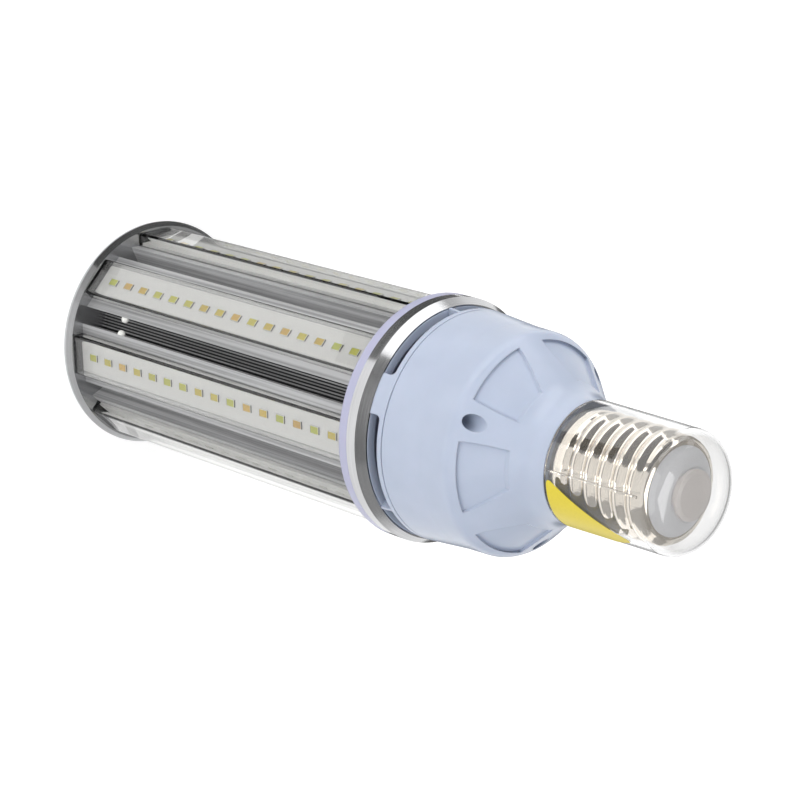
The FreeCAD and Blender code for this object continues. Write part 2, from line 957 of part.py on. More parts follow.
def make_filter_capacitors():
    """Two cans that stand out from the board, one above the other."""
    step = size("driver_height") / (CAPACITORS + 1)
    cans = []
    for index in range(CAPACITORS):
        can = rod(f"capacitor_{index}", size("capacitor_radius"), size("capacitor_length"))
        level = collar_top + step * (index + 1)
        along = size("capacitor_radius")
        cans.append(place(can, along, size("driver_thick") / 2, level, pointing(0, 1, 0)))
    return group("filter_capacitors", cans)


def make_choke():
    drum = rod("choke", size("choke_radius"), size("choke_length"))
    along = size("driver_width") / 2 - size("choke_radius")
    level = collar_top + size("driver_height") / 2
    return place(drum, along, size("driver_thick") / 2, level, pointing(0, 1, 0))


def make_input_leads():
    """One lead up the axis to the contact, one bent out to the shell above the spigot."""
    radius = size("lead_radius")
    to_contact = rod("contact_lead", radius, contact_bottom - driver_top)
    place(to_contact, 0, 0, driver_top)
    spread = size("lead_spread")
    level = spigot_top + radius * 3
    rise = place(rod("shell_lead_rise", radius, level - driver_top), spread, 0, driver_top)
    elbow = bind(doc.addObject("Part::Sphere", "shell_lead_elbow"), Radius=radius)
    place(elbow, spread, 0, level)
    run = rod("shell_lead_run", radius, spigot_radius - spread)
    place(run, spread, 0, level, pointing(1, 0, 0))
    return group("input_leads", [to_contact, join("shell_lead", [rise, elbow, run])])


def make_output_leads():
    leads = [
        lead_out(f"output_lead_{index}", angle, size("lead_radius"))
        for index, angle in enumerate((0, 180))
    ]
    return group("output_leads", leads)


def make_pieces():
    pieces = [make_end_plate(), make_end_plate_screws(), make_heat_sink()]
    for number, angle in enumerate(strip_angles, start=1):
        pieces.append(make_led_board(f"led_board_{number}", angle))
        pieces.append(make_led_chips(f"led_chips_{number}", angle))
        pieces.append(make_lens_cover(f"lens_cover_{number}", angle))
    pieces += [
        make_sealant_beads(),
        make_collar(),
        make_trim_ring(),
        make_vent_ring(),
        make_driver_housing(),
        make_housing_screws(),
        make_screw_shell(),
        make_base_insulator(),
        make_centre_contact(),
        make_protective_cap(),
        make_driver_board(),
        make_transformer(),
        make_filter_capacitors(),
        make_choke(),
        make_input_leads(),
        make_output_leads(),
    ]
    return pieces


def check_and_export(pieces):
    """Stop at anything broken, then write one STEP file for each piece."""
    doc.recompute()
    for thing in doc.Objects:
        if "Invalid" in thing.State or "Error" in thing.State:
            raise RuntimeError(f"{thing.Name} did not build: {thing.State}")
    os.makedirs("parts", exist_ok=True)
    for piece in pieces:
        if piece.Shape.isNull() or not piece.Shape.isValid():
            raise RuntimeError(f"{piece.Label} has no valid shape")
        piece.Shape.exportStep(f"parts/{piece.Label}.step")


check_and_export(make_pieces())
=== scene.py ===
import math

import bpy
from mathutils import Matrix, Vector


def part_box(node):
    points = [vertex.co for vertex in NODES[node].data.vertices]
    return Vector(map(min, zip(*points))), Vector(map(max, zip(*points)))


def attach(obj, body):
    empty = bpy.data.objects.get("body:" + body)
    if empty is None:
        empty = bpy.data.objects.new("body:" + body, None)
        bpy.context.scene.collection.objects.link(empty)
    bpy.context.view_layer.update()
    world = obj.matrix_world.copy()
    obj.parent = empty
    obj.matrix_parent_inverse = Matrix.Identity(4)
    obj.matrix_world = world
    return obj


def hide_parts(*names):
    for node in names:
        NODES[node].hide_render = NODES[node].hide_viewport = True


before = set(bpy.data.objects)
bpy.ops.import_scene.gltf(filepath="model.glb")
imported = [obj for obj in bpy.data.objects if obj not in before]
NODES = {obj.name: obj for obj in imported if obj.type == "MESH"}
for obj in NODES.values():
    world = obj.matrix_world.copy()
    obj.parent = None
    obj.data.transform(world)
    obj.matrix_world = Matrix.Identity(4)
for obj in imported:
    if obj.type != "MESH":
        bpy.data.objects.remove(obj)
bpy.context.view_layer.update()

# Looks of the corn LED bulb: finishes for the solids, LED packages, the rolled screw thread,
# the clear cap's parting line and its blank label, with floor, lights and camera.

MM = 0.001

# Camera, as fitted to the photo: an 800 pixel square picture with a focal length of 2450 pixels
CAMERA_PLACE_MM = Vector((589.34, -276.32, 773.13))
CAMERA_RIGHT = Vector((-0.72489, 0.01780, 0.68864))
CAMERA_DOWN = Vector((0.22119, 0.95276, 0.20820))
FOCAL_PIXELS = 2450.0
PICTURE_PIXELS = 800.0
SENSOR_MM = 36.0

# LED strips, with the chip pitch in millimetres
STRIPS = 8
CHIPS = 16
CHIP_PITCH = 9.4
STRIP_TURN = math.radians(360.0 / STRIPS)

# One LED chip, in millimetres: its rounded edges, and the rim and depth of its phosphor well
CHIP_EDGE = 0.12
WELL_RIM = 0.08
WELL_DEPTH = 0.08

# Cells of one tint, in millimetres: a strip wide and a pitch long, shifted to part between chips
TINT_CELL = (20.0, 20.0, CHIP_PITCH)
TINT_CELL_SHIFT = (10.0, 10.0, -7.3)

# Material slots of an LED row, after its package: the phosphor fill, and the chip's end faces, dark
# leads with painted shade
FILL_SLOT = 1
LEADS_AND_SHADE_SLOT = 2

# Heat sink radii, in millimetres: the floor between the groove ribs, and the edge of a strip seat
GROOVE_FLOOR = 27.6
SEAT_EDGE = 41.0

# Screw base, in millimetres
THREAD_PITCH = 6.35
THREAD_ROOT = 17.9
THREAD_CREST = 19.75
THREAD_BOTTOM = 246.4
THREAD_TOP = 277.4
SKIRT_RADIUS = 19.4
SHELL_THICK = 0.5

# One point on the thread's crest that fixes where the helix starts
CREST_HEIGHT = 249.1
CREST_TURN = math.radians(-28.0)

# Sweep of the helix: it begins below the thread, ends above it, and is then cut to length.
# A widening below 1 makes its crests wider than its roots
THREAD_TURNS = 7
TURNS_BELOW = 2
TURN_STEPS = 96
PROFILE_STEPS = 16
CREST_WIDENING = 0.8

# Rings of the shell away from the thread, down to the skirt's edge and up to the lip that is
# turned in: radius and height, in millimetres
SKIRT_RINGS = ((18.6, 245.6), (19.3, 244.9), (SKIRT_RADIUS, 244.5), (SKIRT_RADIUS, 239.3))
LIP_RINGS = ((17.6, 278.2), (17.0, 279.0), (16.2, 279.5), (15.4, 279.7), (14.8, 279.7))

# Clear cap, in millimetres: a hollow that tapers a little from its rim to its closed end
CAP_RIM_RADIUS = 22.45
CAP_END_RADIUS = 21.85

# The cap's parting line, in millimetres: gaps to the rim and the closed end, and its own size
SEAM_TURN = math.radians(-9.3)
SEAM_RIM_GAP = 0.3
SEAM_END_GAP = 8.5
SEAM_DEPTH = 0.3
SEAM_WIDTH = 0.9
SEAM_EDGE = 0.14

# The cap's label, in millimetres: a triangle of thin film, cut across so that it can bend
LABEL_TURN = math.radians(45.0)
LABEL_SIDE = 38.0
LABEL_CORNER = 2.6
LABEL_RIM_GAP = 0.9
LABEL_LIFT = 0.06
LABEL_THICK = 0.05
LABEL_CUTS = 24
LABEL_CUT_SPAN = 1.05 * LABEL_SIDE

# Room, floor and cards, in metres: how bright the room is as light and as background, how much
# the floor glows where it is seen, and where the cards lie or stand
ROOM_LIGHT = 0.4
ROOM_WHITE = 1.0
FLOOR_SIZE = 8.0
FLOOR_LEVEL = -0.2 * MM
FLOOR_GLOW = 0.45
CARD_LEVEL = 0.5 * MM
RIM_CARD_RADIUS = 0.0495
RIM_CARD_LEVELS = (CARD_LEVEL, 0.007)
FRONT_CARD_RADIUS = 0.5
UPPER_CARD_RADIUS = 1.2

# Lamps in front, a metre from the axis: angle round it in degrees, and power in watts
FRONT_FILLS = ((-44.0, 1.9), (-3.0, 3.3))
FRONT_FILL_HEIGHT = 0.35

# Pale cards round the end plate's rim: their glow, and the two angles between which they stand
RIM_GLOWS = ((0.08, -50, -43), (0.16, -43, -36), (0.3, -36, -28), (0.5, -28, 130))

# A Mix node's colour sockets go by number, since others have the same names
MIX_FIRST = 6
MIX_SECOND = 7
MIX_RESULT = 2


def linear(hex_colour):
    """The linear colour of an sRGB hex value."""
    parts = [int(hex_colour[place:place + 2], 16) / 255.0 for place in (1, 3, 5)]
    colour = [
        part / 12.92 if part <= 0.04045 else ((part + 0.055) / 1.055) ** 2.4 for part in parts
    ]
    return colour + [1.0]


def add_node(tree, kind, values=None, links=None, **settings):
    """Add a node, give it settings and socket values, and link its inputs from other outputs."""
    node = tree.nodes.new(kind)
    for name, value in settings.items():
        setattr(node, name, value)
    for socket, value in (values or {}).items():
        node.inputs[socket].default_value = value
    for socket, output in (links or {}).items():
        tree.links.new(output, node.inputs[socket])
    return node


def new_material(name, **sockets):
    """A material whose one shader has plain values on its sockets."""
    material = bpy.data.materials.new(name)
    material.use_nodes = True
    shader = material.node_tree.nodes["Principled BSDF"]
    for socket, value in sockets.items():
        shader.inputs[socket.replace("_", " ")].default_value = value
    return material, material.node_tree, shader


def stretched_noise(tree, size_mm, detail=3.0):
    """Noise whose features have their own size in millimetres along X, Y and Z."""
    place = add_node(tree, "ShaderNodeTexCoord")
    mapping = add_node(
        tree,
        "ShaderNodeMapping",
        {"Scale": [1.0 / (size * MM) for size in size_mm]},
        {"Vector": place.outputs["Object"]},
    )
    return add_node(
        tree,
        "ShaderNodeTexNoise",
        {"Scale": 1.0, "Detail": detail},
        {"Vector": mapping.outputs["Vector"]},
    )


def vary(tree, shader, noise, rough, colours=None):
    """Let a noise move the roughness between two values, and the colour between two."""
    shine = add_node(
        tree,
        "ShaderNodeMapRange",
        {"To Min": rough[0], "To Max": rough[1]},
        {"Value": noise.outputs["Fac"]},
    )
    tree.links.new(shine.outputs["Result"], shader.inputs["Roughness"])
    if colours:
        mix = add_node(
            tree,
            "ShaderNodeMix",
            links={"Factor": noise.outputs["Fac"]},
            data_type="RGBA",
        )
        mix.inputs[MIX_FIRST].default_value = linear(colours[0])
        mix.inputs[MIX_SECOND].default_value = linear(colours[1])
        tree.links.new(mix.outputs[MIX_RESULT], shader.inputs["Base Color"])


def relief(tree, shader, height, depth_mm, strength, edge_mm=0.0):
    """Raise the surface by a height output, at a real depth, and round its edges to a radius."""
    bump = add_node(
        tree,
        "ShaderNodeBump",
        {"Strength": strength, "Distance": depth_mm * MM},
        {"Height": height},
    )
    if edge_mm:
        rounded = add_node(tree, "ShaderNodeBevel", {"Radius": edge_mm * MM}, samples=6)
        tree.links.new(rounded.outputs["Normal"], bump.inputs["Normal"])
    tree.links.new(bump.outputs["Normal"], shader.inputs["Normal"])


def turned_aluminium(name, colours, rough, metallic=1.0):
    """Turned aluminium: fine tool lines round the axis draw the reflections out along them."""
    material, tree, shader = new_material(name, Metallic=metallic)
    # Real tool lines, about 0.1 mm apart, are too fine to show, so these are three times as wide
    lines = stretched_noise(tree, (25.0, 25.0, 0.3333))
    vary(tree, shader, lines, rough, colours)
    relief(tree, shader, lines.outputs["Fac"], depth_mm=0.01, strength=0.5)
    return material


def extruded_aluminium():
    """Bare extruded aluminium: die lines along the bar, with painted shade on the floors between the
    ribs and painted light up the groove walls.
    """
    material, tree, shader = new_material("extruded_aluminium", Metallic=0.35)
    # Real die lines are a few tenths of a millimetre wide. These are wider, so that they show
    lines = stretched_noise(tree, (1.25, 1.25, 166.7))
    vary(tree, shader, lines, (0.42, 0.58))
    relief(tree, shader, lines.outputs["Fac"], depth_mm=0.03, strength=0.5)
    place = add_node(tree, "ShaderNodeTexCoord")
    flat = add_node(
        tree,
        "ShaderNodeVectorMath",
        {1: (1.0, 1.0, 0.0)},
        {0: place.outputs["Object"]},
        operation="MULTIPLY",
    )
    radius = add_node(
        tree, "ShaderNodeVectorMath", links={0: flat.outputs["Vector"]}, operation="LENGTH"
    )
    depth = add_node(
        tree,
        "ShaderNodeMapRange",
        {"From Min": GROOVE_FLOOR * MM, "From Max": SEAT_EDGE * MM},
        {"Value": radius.outputs["Value"]},
    )
    # Painted shade on the groove's floor, then painted light past the tops of its ribs and up its
    # walls, then the plain colour at the edge of a seat
    ramp = add_node(tree, "ShaderNodeValToRGB", links={"Fac": depth.outputs["Result"]})
    ramp.color_ramp.elements[0].color = linear("#3A3A3C")
    ramp.color_ramp.elements[1].color = linear("#A8A9AA")
    for place_along, colour in ((0.12, "#3A3A3C"), (0.24, "#E6E6E7"), (0.75, "#E6E6E7")):
        ramp.color_ramp.elements.new(place_along).color = linear(colour)
    # Only the noise's middle values count, which makes the lines stand out
    drawn = add_node(
        tree,
        "ShaderNodeMapRange",
        {"From Min": 0.4, "From Max": 0.65},
        {"Value": lines.outputs["Fac"]},
    )
    lined = add_node(
        tree,
        "ShaderNodeMix",
        {MIX_SECOND: linear("#C4C4C4")},
        {"Factor": drawn.outputs["Result"], MIX_FIRST: ramp.outputs["Color"]},
        data_type="RGBA",
        blend_type="MULTIPLY",
    )
    tree.links.new(lined.outputs[MIX_RESULT], shader.inputs["Base Color"])
    return material


def coated_board():
    """White solder mask over copper: even satin white with faint steps where tracks end."""
    material, tree, shader = new_material("white_solder_mask", Specular_IOR_Level=0.4)
    grain = stretched_noise(tree, (1.6667, 1.6667, 4.0))
    vary(tree, shader, grain, (0.32, 0.45), ("#E9E9E7", "#F2F2F0"))
    relief(tree, shader, grain.outputs["Fac"], depth_mm=0.01, strength=0.4)
    return material


def led_package():
    """Moulded white LED package: clean, slightly shiny thermoplastic."""
    material, tree, shader = new_material("white_led_package", IOR=1.55)
    grain = stretched_noise(tree, (0.5, 0.5, 0.5))
    vary(tree, shader, grain, (0.3, 0.42), ("#E6E6E2", "#F4F4F1"))
    return material


def phosphor():
    """Phosphor in silicone: a yellow fill whose tint differs from chip to chip."""
    material, tree, shader = new_material("phosphor_silicone", IOR=1.41)
    place = add_node(tree, "ShaderNodeTexCoord")
    # Each chip lies in a cell of its own, and each cell draws a tint by chance
    moved = add_node(
        tree,
        "ShaderNodeVectorMath",
        {1: [length * MM for length in TINT_CELL_SHIFT]},
        {0: place.outputs["Object"]},
        operation="ADD",
    )
    counted = add_node(
        tree,
        "ShaderNodeVectorMath",
        {1: [length * MM for length in TINT_CELL]},
        {0: moved.outputs["Vector"]},
        operation="DIVIDE",
    )
    whole = add_node(
        tree, "ShaderNodeVectorMath", links={0: counted.outputs["Vector"]}, operation="FLOOR"
    )
    chance = add_node(
        tree, "ShaderNodeTexWhiteNoise", links={"Vector": whole.outputs["Vector"]}
    )
    ramp = add_node(tree, "ShaderNodeValToRGB", links={"Fac": chance.outputs["Value"]})
    ramp.color_ramp.elements[0].color = linear("#C4CC48")
    ramp.color_ramp.elements[1].color = linear("#DCB048")
    middle = ramp.color_ramp.elements.new(0.6)
    middle.color = linear("#DAC842")
    tree.links.new(ramp.outputs["Color"], shader.inputs["Base Color"])
    grain = stretched_noise(tree, (0.3333, 0.3333, 0.3333))
    vary(tree, shader, grain, (0.25, 0.45))
    relief(tree, shader, grain.outputs["Fac"], depth_mm=0.03, strength=0.5)
    return material


def clear_plastic(name, colour, wave_mm):
    """Clear acrylic: glass-like, with soft waves that bend what lies behind it."""
    material, tree, shader = new_material(
        name,
        Base_Color=linear(colour),
        IOR=1.49,
        Transmission_Weight=1.0,
        Roughness=0.01,
    )
    waves = stretched_noise(tree, wave_mm, detail=1.0)
    relief(tree, shader, waves.outputs["Fac"], depth_mm=0.05, strength=0.4)
    return material


def moulded_plastic(name, colours, rough):
    """Glossy moulded plastic: near even colour, soft reflections, a trace of mould texture."""
    material, tree, shader = new_material(
        name, IOR=1.5, Subsurface_Weight=0.05, Subsurface_Scale=1.0 * MM
    )
    grain = stretched_noise(tree, (12.5, 12.5, 12.5))
    vary(tree, shader, grain, rough, colours)
    # A real mould's texture is about 0.1 mm fine. This one is coarser, so that it shows
    texture = stretched_noise(tree, (0.4, 0.4, 0.4))
    relief(tree, shader, texture.outputs["Fac"], depth_mm=0.01, strength=0.3, edge_mm=0.6)
    return material


def plain_finish(name, colours, rough, metallic=0.0, grain_mm=1.0):
    """A grained surface: a colour and gloss that wander a little, and a shallow relief."""
    material, tree, shader = new_material(name, Metallic=metallic)
    # The grain is drawn coarser than the real one, which is too fine to show
    grain = stretched_noise(tree, (grain_mm, grain_mm, grain_mm))
    vary(tree, shader, grain, rough, colours)
    relief(tree, shader, grain.outputs["Fac"], depth_mm=0.02, strength=0.5)
    return material


def rolled_nickel():
    """Nickel plated rolled brass: warm bright metal with faint lines round the axis."""
    material, tree, shader = new_material("rolled_nickel", Metallic=1.0)
    # Real rolling lines are too fine to show, so these are several times as wide
    lines = stretched_noise(tree, (20.0, 20.0, 0.66667))
    vary(tree, shader, lines, (0.06, 0.14), ("#DCD3C6", "#F2EBE0"))
    relief(tree, shader, lines.outputs["Fac"], depth_mm=0.02, strength=0.3)
    return material


def finish(material, *names):
    """Give CAD nodes one material."""
    for name in names:
        slots = NODES[name].data.materials
        slots.clear()
        slots.append(material)


def numbered(stem):
    """The names of a node that comes once for each strip."""
    return [f"{stem}_{number}" for number in range(1, STRIPS + 1)]


def deselect():
    """Leave edit mode with nothing selected."""
    if bpy.context.object and bpy.context.object.mode != "OBJECT":
        bpy.ops.object.mode_set(mode="OBJECT")
    bpy.ops.object.select_all(action="DESELECT")


def select_only(piece):
    """Make a piece the only selected one, and the active one."""
    deselect()
    piece.select_set(True)
    bpy.context.view_layer.objects.active = piece


def edit(piece):
    """Open a piece in edit mode with nothing selected in it."""
    select_only(piece)
    bpy.ops.object.mode_set(mode="EDIT")
    bpy.ops.mesh.select_all(action="DESELECT")


def pick(piece, test, mode="VERT"):
    """In edit mode, select only the vertices or faces that pass a test."""
    bpy.ops.mesh.select_mode(type=mode)
    bpy.ops.mesh.select_all(action="DESELECT")
    bpy.ops.object.mode_set(mode="OBJECT")
    items = piece.data.vertices if mode == "VERT" else piece.data.polygons
    for item in items:
        item.select = test(item)
    bpy.ops.object.mode_set(mode="EDIT")


def settle(piece):
    """Put the piece's place, turn and scale into its mesh."""
    select_only(piece)
    bpy.ops.object.transform_apply(location=True, rotation=True, scale=True)


def apply_modifier(piece, kind, name, **settings):
    """Add a modifier with its settings, and make its result the piece's mesh."""
    select_only(piece)
    modifier = piece.modifiers.new(name, kind)
    for key, value in settings.items():
        setattr(modifier, key, value)
    bpy.ops.object.modifier_apply(modifier=name)


def smooth(piece, degrees):
    """Shade a piece smooth, apart from edges sharper than an angle."""
    select_only(piece)
    bpy.ops.object.shade_smooth_by_angle(angle=math.radians(degrees))


def dress(piece, materials, body, slot, *replaced):
    """Give a new piece its materials and body, and hide the nodes it stands for. The slot is not
    used.
    """
    for material in materials:
        piece.data.materials.append(material)
    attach(piece, body)
    if replaced:
        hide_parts(*replaced)


def model_led_chip():
    """One LED: a white package with a shallow well of phosphor."""
    low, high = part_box("led_chips_1")
    length = high.z - low.z - CHIP_PITCH * MM * (CHIPS - 1)
    deselect()
    bpy.ops.mesh.primitive_cube_add(
        size=1.0, location=((low.x + high.x) / 2, 0, low.z + length / 2)
    )
    chip = bpy.context.object
    chip.scale = (high.x - low.x, high.y - low.y, length)
    settle(chip)
    apply_modifier(chip, "BEVEL", "edge_round", width=CHIP_EDGE * MM, segments=1)
    edit(chip)
    pick(chip, lambda face: face.normal.x > 0.99, "FACE")
    bpy.ops.mesh.inset(thickness=WELL_RIM * MM)
    bpy.ops.mesh.extrude_region_move(TRANSFORM_OT_translate={"value": (-WELL_DEPTH * MM, 0, 0)})
    bpy.ops.object.mode_set(mode="OBJECT")
    for face in chip.data.polygons:
        if face.select:
            face.material_index = FILL_SLOT
        # End faces along the strip: dark leads, and painted shade
        elif abs(face.normal.z) > 0.9:
            face.material_index = LEADS_AND_SHADE_SLOT
    return chip


def make_led_rows(package, fill, solder):
    """Copies of the chip along each strip, one piece for each row."""
    chip = model_led_chip()
    apply_modifier(
        chip,
        "ARRAY",
        "row",
        count=CHIPS,
        use_relative_offset=False,
        use_constant_offset=True,
        constant_offset_displace=(0, 0, CHIP_PITCH * MM),
    )
    for number in range(STRIPS):
        row = chip.copy()
        row.data = chip.data.copy()
        row.name = f"led_row_{number + 1}"
        bpy.context.scene.collection.objects.link(row)
        row.rotation_euler = (0, 0, STRIP_TURN * number)
        settle(row)
        dress(row, (package, fill, solder), "bulb", "led_phosphor", f"led_chips_{number + 1}")
    bpy.data.objects.remove(chip)


def thread_profile():
    """One pitch of the thread from root to root, as points to sweep round the axis."""
    depth = THREAD_CREST - THREAD_ROOT
    # The profile starts in a root, so its crest is half a pitch further up
    start = CREST_HEIGHT - THREAD_PITCH * (TURNS_BELOW + 0.5 + CREST_TURN / math.tau)
    points = []
    for step in range(PROFILE_STEPS + 1):
        part = step / PROFILE_STEPS
        swell = (0.5 - 0.5 * math.cos(math.tau * part)) ** CREST_WIDENING
        radius = THREAD_ROOT + depth * swell
        points.append(Vector((radius * MM, 0, (start + THREAD_PITCH * part) * MM)))
    return points


def ring_out(piece, level, radius_mm, height_mm):
    """Extrude the open ring at a level to a circle of a new radius and height."""
    pick(piece, lambda corner: abs(corner.co.z - level) < 0.001 * MM)
    bpy.ops.mesh.extrude_region_move(
        TRANSFORM_OT_translate={"value": (0, 0, height_mm * MM - level)}
    )
    bpy.ops.object.mode_set(mode="OBJECT")
    for corner in piece.data.vertices:
        if corner.select:
            away = math.hypot(corner.co.x, corner.co.y)
            corner.co.x *= radius_mm * MM / away
            corner.co.y *= radius_mm * MM / away
            corner.co.z = height_mm * MM
    bpy.ops.object.mode_set(mode="EDIT")
    return height_mm * MM


def make_rolled_shell(nickel):
    """Screw cap with a true rounded helix, run out into its skirt and its turned-in lip."""
    profile = thread_profile()
    deselect()
    bpy.ops.mesh.primitive_plane_add(size=MM, location=(0, 0, 0))
    shell = bpy.context.object
    shell.name = "rolled_screw_shell"
    bpy.ops.object.mode_set(mode="EDIT")
    bpy.ops.mesh.select_mode(type="VERT")
    bpy.ops.mesh.select_all(action="SELECT")
    bpy.ops.mesh.merge(type="CENTER")
    bpy.ops.transform.translate(value=profile[0])
    for before, after in zip(profile, profile[1:]):
        bpy.ops.mesh.extrude_region_move(TRANSFORM_OT_translate={"value": after - before})
    bpy.ops.object.mode_set(mode="OBJECT")
    apply_modifier(
        shell,
        "SCREW",
        "thread",
        screw_offset=THREAD_PITCH * MM,
        iterations=THREAD_TURNS,
        steps=TURN_STEPS,
        render_steps=TURN_STEPS,
        use_merge_vertices=True,
        merge_threshold=0.002 * MM,
    )
    edit(shell)
    for level, way in ((THREAD_BOTTOM, -1), (THREAD_TOP, 1)):
        bpy.ops.mesh.select_all(action="SELECT")
        bpy.ops.mesh.bisect(
            plane_co=(0, 0, level * MM),
            plane_no=(0, 0, way),
            clear_outer=True,
            threshold=0.0001 * MM,
        )
    for start, rings in ((THREAD_BOTTOM, SKIRT_RINGS), (THREAD_TOP, LIP_RINGS)):
        level = start * MM
        for radius, height in rings:
            level = ring_out(shell, level, radius, height)
    bpy.ops.mesh.select_all(action="SELECT")
    bpy.ops.mesh.remove_doubles(threshold=0.005 * MM)
    bpy.ops.mesh.normals_make_consistent(inside=False)
    bpy.ops.object.mode_set(mode="OBJECT")
    apply_modifier(shell, "SOLIDIFY", "sheet_metal", thickness=SHELL_THICK * MM, offset=-1.0)
    smooth(shell, 50)
    dress(shell, (nickel,), "bulb", "nickel_shell", "screw_shell")


def cap_taper(low, high):
    """How much the cap's outer radius shrinks for each millimetre of height."""
    return (CAP_RIM_RADIUS - CAP_END_RADIUS) / ((high.z - low.z) / MM)


def make_cap_seam(clear):
    """The parting line along one side of the cap: a low flat ridge."""
    low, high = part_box("protective_cap")
    bottom = low.z + SEAM_RIM_GAP * MM
    top = high.z - SEAM_END_GAP * MM
    slope = cap_taper(low, high)
    middle = CAP_RIM_RADIUS * MM - slope * ((bottom + top) / 2 - low.z)
    deselect()
    bpy.ops.mesh.primitive_cube_add(size=1.0, location=(middle, 0, (bottom + top) / 2))
    seam = bpy.context.object
    seam.name = "cap_parting_line"
    seam.scale = (SEAM_DEPTH * MM, SEAM_WIDTH * MM, top - bottom)
    seam.rotation_euler = (0, -math.atan(slope), 0)
    settle(seam)
    apply_modifier(seam, "BEVEL", "edge_round", width=SEAM_EDGE * MM, segments=3)
    seam.rotation_euler = (0, 0, SEAM_TURN)
    settle(seam)
    smooth(seam, 40)
    dress(seam, (clear,), "cap", "clear_cap")


def make_cap_label(vinyl):
    """A blank three cornered label wrapped round the cap, its base along the rim."""
    low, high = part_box("protective_cap")
    height = LABEL_SIDE * math.sqrt(3) / 2
    middle = low.z / MM + LABEL_RIM_GAP + height / 3
    deselect()
    bpy.ops.mesh.primitive_circle_add(
        vertices=3,
        radius=LABEL_SIDE / math.sqrt(3) * MM,
        fill_type="NGON",
        location=(0, 0, 0),
    )
    label = bpy.context.object
    label.name = "cap_label"
    edit(label)
    bpy.ops.mesh.select_all(action="SELECT")
    bpy.ops.mesh.bevel(offset=LABEL_CORNER * MM, segments=8, affect="VERTICES")
    for index in range(1, LABEL_CUTS):
        across = (index / LABEL_CUTS - 0.5) * LABEL_CUT_SPAN * MM
        bpy.ops.mesh.select_all(action="SELECT")
        bpy.ops.mesh.bisect(plane_co=(across, 0, 0), plane_no=(1, 0, 0))
    bpy.ops.object.mode_set(mode="OBJECT")
    slope = cap_taper(low, high)
    for corner in label.data.vertices:
        level = middle + corner.co.y / MM
        radius = CAP_RIM_RADIUS - slope * (level - low.z / MM) + LABEL_LIFT
        turn = LABEL_TURN + corner.co.x / MM / radius
        corner.co = Vector((radius * math.cos(turn), radius * math.sin(turn), level)) * MM
    edit(label)
    bpy.ops.mesh.select_all(action="SELECT")
    bpy.ops.mesh.normals_make_consistent(inside=False)
    bpy.ops.object.mode_set(mode="OBJECT")
    apply_modifier(label, "SOLIDIFY", "film", thickness=LABEL_THICK * MM, offset=0.0)
    smooth(label, 30)
    dress(label, (vinyl,), "cap", "clear_cap")


def make_floor():
    """Pale floor that shows white to the camera and in reflections, and keeps a soft shadow."""
    deselect()
    bpy.ops.mesh.primitive_plane_add(size=FLOOR_SIZE, location=(0, 0, FLOOR_LEVEL))
    floor = bpy.context.object
    floor.name = "studio_floor"
    material = bpy.data.materials.new("painted_studio_floor")
    material.use_nodes = True
    tree = material.node_tree
    tree.nodes.clear()
    paint = add_node(tree, "ShaderNodeBsdfDiffuse", {"Color": linear("#E6E6E6")})
    rays = add_node(tree, "ShaderNodeLightPath")
    seen = add_node(
        tree,
        "ShaderNodeMath",
        links={0: rays.outputs["Is Camera Ray"], 1: rays.outputs["Is Glossy Ray"]},
        operation="ADD",
    )
    any_seen = add_node(
        tree,
        "ShaderNodeMath",
        links={0: seen.outputs["Value"], 1: rays.outputs["Is Transmission Ray"]},
        operation="ADD",
        use_clamp=True,
    )
    strength = add_node(
        tree,
        "ShaderNodeMath",
        {1: FLOOR_GLOW},
        {0: any_seen.outputs["Value"]},
        operation="MULTIPLY",
    )
    glow = add_node(tree, "ShaderNodeEmission", links={"Strength": strength.outputs["Value"]})
    both = add_node(
        tree,
        "ShaderNodeAddShader",
        links={0: paint.outputs["BSDF"], 1: glow.outputs["Emission"]},
    )
    add_node(tree, "ShaderNodeOutputMaterial", links={"Surface": both.outputs["Shader"]})
    floor.data.materials.append(material)


def make_room():
    """A white room, at full strength where it is seen straight and dimmer as light."""
    world = bpy.data.worlds.new("studio_room")
    world.use_nodes = True
    tree = world.node_tree
    background = tree.nodes["Background"]
    background.inputs["Color"].default_value = linear("#FFFFFF")
    rays = add_node(tree, "ShaderNodeLightPath")
    bounces = add_node(
        tree,
        "ShaderNodeMath",
        links={0: rays.outputs["Diffuse Depth"], 1: rays.outputs["Glossy Depth"]},
        operation="ADD",
    )
    straight = add_node(
        tree, "ShaderNodeMath", {1: 0.5}, {0: bounces.outputs["Value"]}, operation="LESS_THAN"
    )
    strength = add_node(
        tree,
        "ShaderNodeMapRange",
        {"To Min": ROOM_LIGHT, "To Max": ROOM_WHITE},
        {"Value": straight.outputs["Value"]},
    )
    tree.links.new(strength.outputs["Result"], background.inputs["Strength"])
    bpy.context.scene.world = world


def add_softbox(name, place, aim_height, size, watts, mirrored=True):
    """A soft rectangular lamp aimed at the axis, which shiny surfaces may or may not mirror."""
    light = bpy.data.lights.new(name, "AREA")
    light.shape = "RECTANGLE"
    light.size, light.size_y = size
    light.energy = watts
    lamp = bpy.data.objects.new(name, light)
    bpy.context.scene.collection.objects.link(lamp)
    lamp.location = place
    sight = Vector((0, 0, aim_height)) - Vector(place)
    lamp.rotation_euler = sight.to_track_quat("-Z", "Y").to_euler()
    lamp.visible_glossy = mirrored


